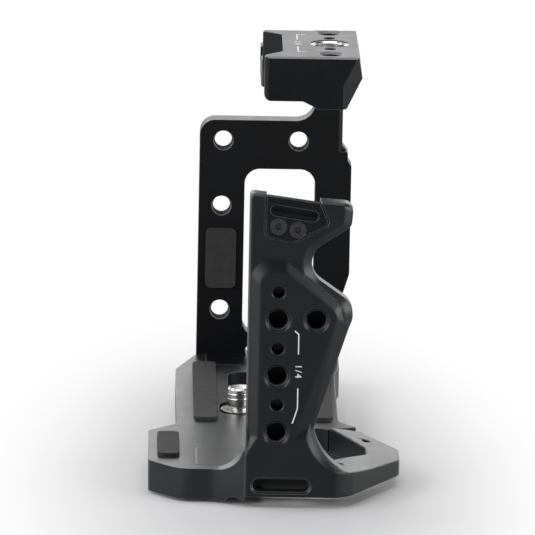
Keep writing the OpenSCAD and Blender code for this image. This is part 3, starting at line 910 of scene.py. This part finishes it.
@dataclass
class GripSideArm:
    """The arm up the grip side, with its strap loop plate and printed mark."""

    nodes: Mapping[str, bpy.types.Object]
    field_x: float = -73.97
    hole_y: float = 5.0
    extra_hole_y: float = -4.6
    hole_heights: tuple[float, ...] = (18.6, 33.05, 47.5)
    thread_length: float = 5.9
    line_x: float = 0.2
    upper_line: Flat = (44.0, 38.9)
    lower_line: Flat = (30.2, 25.0)
    upper_hook: Flat = (-0.81, 44.91)
    lower_hook: Flat = (-1.03, 21.1)
    number_height: float = 1.7

    def build(self) -> None:
        """Dresses the solids, then adds threads and the printed mark."""
        ARM_ANODISED.dress(self.nodes["grip_side_arm"])
        PLATE_ANODISED.dress(self.nodes["strap_loop_plate"])
        BLACK_STEEL.dress(self.nodes["strap_loop_screws"])
        RUBBER.dress(self.nodes["arm_pad"])
        self.threads()
        self.mark()

    def threads(self) -> None:
        """The quarter inch threads of the raised field."""
        x = self.field_x + COUNTERSINK
        mouths = [(x, self.hole_y, z) for z in self.hole_heights]
        mouths.append((x, self.extra_hole_y, self.hole_heights[-1]))
        ThreadedHoles(
            "arm_thread", mouths, (1, 0, 0), self.thread_length, ANODISED
        ).build()

    def mark(self) -> None:
        """The printed line between the holes, broken by the thread's size."""
        face = Face((self.field_x, 0, 0), (0, -1, 0), (0, 0, 1))
        lines = Shell()
        upper = [(self.line_x, z) for z in self.upper_line]
        lower = [(self.line_x, z) for z in self.lower_line]
        PrintedLine((self.upper_hook, *upper)).draw(lines, face)
        PrintedLine((*lower, self.lower_hook)).draw(lines, face)
        lines.piece("arm_printed_line", INK, Body.CAGE, CREASED)
        turned = Face((self.field_x, 0, 0), (0, 0, -1), (0, -1, 0))
        gap_middle = (self.upper_line[1] + self.lower_line[0]) / 2
        printed_number(
            "arm_printed_number",
            "1/4",
            self.number_height,
            turned,
            (-gap_middle, self.line_x),
            Body.CAGE,
        )


@dataclass
class TopBridge:
    """The block over the shoe, its steel thread and the shoulder that carries it."""

    nodes: Mapping[str, bpy.types.Object]
    top: float = 104.0
    hole_x: float = 14.0
    thread_length: float = 8.0
    insert_thread_top: float = 101.75
    insert_thread_length: float = 5.5
    line_y: float = 0.1
    line_start: float = 4.6
    line_end: float = 11.5
    hook: Flat = (11.8, -2.1)
    number_place: Flat = (0.0, -0.1)
    number_height: float = 2.0

    def build(self) -> None:
        """Dresses the solids, then adds threads and the printed mark."""
        BLOCK_ANODISED.dress(self.nodes["top_bridge"])
        TOP_STEEL.dress(self.nodes["top_thread_insert"])
        BLACK_STEEL.dress(self.nodes["bridge_screw"])
        RUBBER.dress(self.nodes["block_pad"])
        down, y, z = (0, 0, -1), TOP_AXIS[1], self.top - COUNTERSINK
        mouths = [(side * self.hole_x, y, z) for side in (-1, 1)]
        ThreadedHoles(
            "bridge_thread", mouths, down, self.thread_length, BLOCK_ANODISED
        ).build()
        ThreadedHoles(
            "top_insert_thread",
            [(*TOP_AXIS, self.insert_thread_top)],
            down,
            self.insert_thread_length,
            TOP_STEEL,
            THREE_EIGHTH,
        ).build()
        self.mark()

    def mark(self) -> None:
        """A printed line that points at the two outer threads, with their size."""
        face = Face((0, 0, self.top), (1, 0, 0), (0, 1, 0))
        lines = Shell()
        right_half = (
            self.hook,
            (self.line_end, self.line_y),
            (self.line_start, self.line_y),
        )
        for side in (-1, 1):
            spots = tuple((side * x, y) for x, y in right_half)
            PrintedLine(spots).draw(lines, face)
        lines.piece("block_printed_line", INK, Body.CAGE, CREASED)
        turned = Face((0, 0, self.top), (-1, 0, 0), (0, -1, 0))
        printed_number(
            "block_printed_number",
            "1/4",
            self.number_height,
            turned,
            self.number_place,
            Body.CAGE,
        )


@dataclass
class FarSideWall:
    """The wall on the far side with its threads."""

    nodes: Mapping[str, bpy.types.Object]
    outer_x: float = 68.8
    hole_z: float = 65.5
    hole_ys: tuple[float, ...] = (-2.0, 17.8)
    post_y: float = 18.0
    post_zs: tuple[float, ...] = (20.0, 48.0)
    thread_length: float = 4.9

    def build(self) -> None:
        """Dresses the solids, then adds threads."""
        WALL_ANODISED.dress(self.nodes["far_side_wall"])
        RUBBER.dress(self.nodes["wall_pad"])
        x = self.outer_x - COUNTERSINK
        mouths = [(x, y, self.hole_z) for y in self.hole_ys]
        mouths += [(x, self.post_y, z) for z in self.post_zs]
        ThreadedHoles(
            "wall_thread", mouths, (-1, 0, 0), self.thread_length, WALL_ANODISED
        ).build()


@dataclass
class BasePlate:
    """The plate under the camera with its pads, feet, key and threads."""

    nodes: Mapping[str, bpy.types.Object]
    pad_top: float = 8.8
    hole_x: float = 16.0
    thread_length: float = 6.8
    tripod_mouth: float = 0.8
    tripod_length: float = 5.2
    pads: Mapping[str, tuple[Flat, Flat]] = field(
        default_factory=lambda: {
            "front_seat_pad": ((-14, -10.5), (48, -4.5)),
            "rear_seat_pad": ((-15, 19), (50, 25)),
            "rear_lip_pad": ((-56, 29), (-31, 34.5)),
        }
    )
    feet: tuple[str, ...] = (
        "grip_side_foot",
        "rear_foot",
        "far_front_foot",
        "far_rear_foot",
    )

    def build(self) -> None:
        """Dresses the solids, then adds ribs and threads."""
        ANODISED.dress(self.nodes["base_plate"])
        for name in (*self.pads, *self.feet):
            RUBBER.dress(self.nodes[name])
        for name in ("arm_screws", "grip_bar_screw", "wall_screws", "hex_key"):
            BLACK_STEEL.dress(self.nodes[name])
        TRIPOD_STEEL.dress(self.nodes["tripod_thread_insert"])
        NICKEL.dress(self.nodes["key_magnets"])
        for name, (start, finish) in self.pads.items():
            ribs = PadRibs(start, finish, self.pad_top - PadRibs.height)
            ribs.shell().piece(f"{name}_ribs", RUBBER, Body.CAGE)
        up = (0, 0, 1)
        mouths = [(side * self.hole_x, 0, COUNTERSINK) for side in (-1, 1)]
        ThreadedHoles("base_thread", mouths, up, self.thread_length, ANODISED).build()
        ThreadedHoles(
            "tripod_thread",
            [(0, 0, self.tripod_mouth)],
            up,
            self.tripod_length,
            TRIPOD_STEEL,
            THREE_EIGHTH,
        ).build()


@dataclass
class CameraScrew:
    """The captive screw that holds the camera, and its spring clip."""

    nodes: Mapping[str, bpy.types.Object]
    thread_low: float = 8.9
    thread_length: float = 4.1
    thread_radius: float = 2.85
    thread_ridge: float = 0.36
    head_radius: float = 6.2
    head_low: float = 1.15
    head_high: float = 2.85
    knurls: int = 60
    knurl_height: float = 0.13
    knurl_run_out: float = 0.25
    knurl_half_share: float = 0.42
    knurl_end_share: float = 0.1
    knurl_sunk: float = 0.03

    def build(self) -> None:
        """Dresses the solids, then adds the thread and the knurled band."""
        SCREW_STEEL.dress(self.nodes["camera_screw"])
        CLIP_STEEL.dress(self.nodes["screw_clip"])
        coil = Thread(
            (*SCREW_AXIS, self.thread_low),
            (0, 0, 1),
            self.thread_radius,
            self.thread_length,
            QUARTER.pitch,
            self.thread_ridge,
            outside=True,
        )
        coil.shell().piece("camera_screw_thread", SCREW_STEEL, Body.SCREW, THREADED)
        self.knurl().piece("camera_screw_knurl", SCREW_STEEL, Body.SCREW, CREASED)

    def knurl(self) -> Shell:
        """Small upright ridges round the head."""
        shell = Shell()
        half = self.knurl_half_share * FULL_TURN / self.knurls
        levels = (
            (self.head_low, self.knurl_end_share),
            (self.head_low + self.knurl_run_out, 1),
            (self.head_high - self.knurl_run_out, 1),
            (self.head_high, self.knurl_end_share),
        )
        foot, (x, y) = self.head_radius - self.knurl_sunk, SCREW_AXIS
        for k in range(self.knurls):
            angle = FULL_TURN * k / self.knurls
            rings = []
            for z, scale in levels:
                crest = self.head_radius + self.knurl_height * scale
                section = ((-half, foot), (0, crest), (half, foot))
                rings.append(
                    [
                        (
                            x + radius * math.cos(angle + turn),
                            y + radius * math.sin(angle + turn),
                            z,
                        )
                        for turn, radius in section
                    ]
                )
            shell.strip(rings)
        return shell


# ---- Studio ---------------------------------------------------------------------


@dataclass(frozen=True)
class Lamp:
    """A rectangular soft light aimed at the cage, in metres."""

    WATTS = 4.0  # for each square metre and unit of radiance

    name: str
    place: Point
    aim: Point
    width: float
    height: float
    radiance: float

    def build(self) -> None:
        """Adds the light."""
        data = bpy.data.lights.new(self.name, "AREA")
        data.shape = "RECTANGLE"
        data.size, data.size_y = self.width, self.height
        data.energy = self.WATTS * self.width * self.height * self.radiance
        lamp = bpy.data.objects.new(self.name, data)
        lamp.location = self.place
        heading = Vector(self.aim) - Vector(self.place)
        lamp.rotation_euler = heading.to_track_quat("-Z", "Y").to_euler()
        lamp.visible_camera = False
        bpy.context.scene.collection.objects.link(lamp)


@dataclass
class Studio:
    """Floor, lights, surroundings and camera, in metres.

    The front_ and side values are how bright the floor is in reflections, where 1 is
    white. A reach or an end is where along X or Y such a part starts and stops.
    """

    floor_level: float = -0.72 * MM
    floor_radius: float = 8.0
    floor_steps: int = 96
    floor_colour: Colour = (0.51, 0.51, 0.52)
    front_far: float = 0.16
    front_near: float = 0.5
    front_reach: Flat = (-0.42, -0.12)
    side_glow: float = 1.0
    left_floor: float = 1.0
    right_floor: float = 0.9
    left_reach: Flat = (0.01, 0.13)
    left_end: Flat = (-0.095, -0.06)
    right_reach: Flat = (0.02, 0.18)
    right_end: Flat = (-0.02, 0.1)
    fade: Flat = (0.03, 0.125)
    shadow_centre: Flat = (-60.0, 6.0)
    shadow_squeeze: Flat = (0.55, 1.6)
    floor_reach: Flat = (0.12, 0.45)
    ambient: float = 0.12
    dark_room: float = 0.12
    backdrop_top: Flat = (0.4, 0.65)
    backdrop_reach: Flat = (-0.5, 0.0)
    camera_place: Point = (-2.5736, 0.0516, 0.6011)
    camera_turn: float = 1.0
    camera_pitch: float = 12.19
    camera_roll: float = 1.1
    focal_pixels: float = 10235.0
    image_pixels: float = 535.0
    sensor_width: float = 36.0
    clip: Flat = (0.1, 50.0)
    lamps: tuple[Lamp, ...] = (
        Lamp("left_light", (-0.6, 1.0, 0.44), (0, 0, 0.08), 1.05, 0.8, 3.8),
        Lamp("left_top_light", (0.15, 1.0, 0.85), (0, 0, 0.08), 0.6, 0.5, 5.0),
        Lamp("right_light", (-0.46, -1.1, 0.34), (0, 0, 0.08), 1.05, 0.64, 4.6),
        Lamp("top_light", (0.12, 0.0, 1.15), (0, 0, 0.05), 1.0, 0.95, 2.2),
        Lamp("back_light", (1.3, 0.0, 0.42), (0, 0, 0.09), 1.6, 0.55, 1.1),
    )

    def build(self) -> None:
        """Builds the whole studio."""
        self.floor()
        self.surroundings()
        for lamp in self.lamps:
            lamp.build()
        self.camera()

    def floor(self) -> None:
        """A round pale floor that keeps the cage's shadow."""
        steps, radius = self.floor_steps, self.floor_radius
        angles = [FULL_TURN * k / steps for k in range(steps)]
        rim = [
            (radius * math.cos(angle), radius * math.sin(angle), self.floor_level)
            for angle in angles
        ]
        mesh = bpy.data.meshes.new("floor")
        mesh.from_pydata(rim, [], [tuple(range(steps))])
        mesh.materials.append(self.floor_material())
        floor = bpy.data.objects.new("floor", mesh)
        bpy.context.scene.collection.objects.link(floor)

    def floor_material(self) -> bpy.types.Material:
        """Pale near the cage, white further out and clear from below."""
        material = bpy.data.materials.new("pale_floor")
        material.use_nodes = True
        material.cycles.emission_sampling = "NONE"
        sheet = NodeSheet(material.node_tree)
        rays = sheet.node("ShaderNodeLightPath")
        spot = sheet.node("ShaderNodeSeparateXYZ", {}, {"Vector": sheet.place()})
        along = (spot["X"] - self.shadow_centre[0] * MM) * self.shadow_squeeze[0]
        across = (spot["Y"] - self.shadow_centre[1] * MM) * self.shadow_squeeze[1]
        radius = (along * along + across * across) ** 0.5
        reflected = rays["Is Glossy Ray"] + rays["Is Transmission Ray"]
        faded = rays["Is Camera Ray"] * radius.between(*self.fade)
        left = spot["Y"].between(*self.left_reach)
        right = (0 - spot["Y"]).between(*self.right_reach)
        left = self.left_floor * left * (1 - spot["X"].between(*self.left_end))
        right = self.right_floor * right * (1 - spot["X"].between(*self.right_end))
        sides = left + right
        front = reflected * (1 - spot["X"].between(*self.floor_reach)) * (1 - sides)
        front_shade = sheet.mixed(
            spot["X"].between(*self.front_reach),
            (self.front_far,) * 3,
            (self.front_near,) * 3,
        )
        glow = sheet.mixed(front, (1, 1, 1), front_shade)
        glow = sheet.mixed(reflected * sides, glow, (self.side_glow,) * 3)
        lit = sheet.node("ShaderNodeBsdfDiffuse", {}, {"Color": self.floor_colour})
        white = sheet.node("ShaderNodeEmission", {}, {"Color": glow})
        mix = sheet.node(
            "ShaderNodeMixShader",
            {},
            {0: reflected + faded, 1: lit["BSDF"], 2: white["Emission"]},
        )
        below = sheet.node("ShaderNodeNewGeometry")["Backfacing"]
        clear = sheet.node("ShaderNodeBsdfTransparent")
        one_sided = sheet.node(
            "ShaderNodeMixShader", {}, {0: below, 1: mix["Shader"], 2: clear["BSDF"]}
        )
        sheet.node("ShaderNodeOutputMaterial", {}, {"Surface": one_sided["Shader"]})
        return material

    def surroundings(self) -> None:
        """White all round for the camera, and up to a low height for reflections."""
        world = bpy.data.worlds.new("studio")
        world.use_nodes = True
        world.cycles.sampling_method = "NONE"
        bpy.context.scene.world = world
        sheet = NodeSheet(world.node_tree)
        rays = sheet.node("ShaderNodeLightPath")
        direction = sheet.node("ShaderNodeTexCoord")["Generated"]
        parts = sheet.node("ShaderNodeSeparateXYZ", {}, {"Vector": direction})
        low = 1 - parts["Z"].between(*self.backdrop_top)
        wrapped = parts["X"].between(*self.backdrop_reach)
        reflected = rays["Is Glossy Ray"] + rays["Is Transmission Ray"]
        white = rays["Is Camera Ray"] + reflected * low * wrapped
        white = white.between(0.0, 1.0)
        dark = sheet.mixed(
            rays["Is Glossy Ray"], (self.ambient,) * 3, (self.dark_room,) * 3
        )
        glow = sheet.mixed(white, dark, (1, 1, 1))
        background = sheet.node("ShaderNodeBackground", {}, {"Color": glow})
        sheet.node(
            "ShaderNodeOutputWorld", {}, {"Surface": background["Background"]}
        )

    def camera(self) -> None:
        """A long lens from the grip side, a little above the cage."""
        turn, pitch = math.radians(self.camera_turn), math.radians(self.camera_pitch)
        roll = math.radians(self.camera_roll)
        heading = Vector(
            (
                math.cos(pitch) * math.cos(turn),
                -math.cos(pitch) * math.sin(turn),
                -math.sin(pitch),
            )
        )
        level_right = heading.cross(Vector((0, 0, 1))).normalized()
        level_up = level_right.cross(heading)
        up = level_up * math.cos(roll) - level_right * math.sin(roll)
        right = level_right * math.cos(roll) + level_up * math.sin(roll)
        data = bpy.data.cameras.new("photo_camera")
        data.sensor_width = self.sensor_width
        data.lens = self.sensor_width * self.focal_pixels / self.image_pixels
        data.clip_start, data.clip_end = self.clip
        camera = bpy.data.objects.new("photo_camera", data)
        axes = Matrix((right, up, -heading)).transposed().to_4x4()
        camera.matrix_world = Matrix.Translation(self.camera_place) @ axes
        bpy.context.scene.collection.objects.link(camera)
        bpy.context.scene.camera = camera
        bpy.context.scene.view_settings.view_transform = "Standard"


def main() -> None:
    """Loads the frame, dresses the cage and builds the studio."""
    logging.basicConfig(level=logging.INFO, format="%(name)s: %(message)s")
    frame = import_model()
    nodes = frame["nodes"]
    assemblies: tuple[Callable, ...] = (
        GripSideArm,
        TopBridge,
        FarSideWall,
        BasePlate,
        CameraScrew,
    )
    for assembly in assemblies:
        assembly(nodes).build()
        LOG.info("built %s", assembly.__name__)
    Studio().build()


if __name__ == "__main__":
    main()
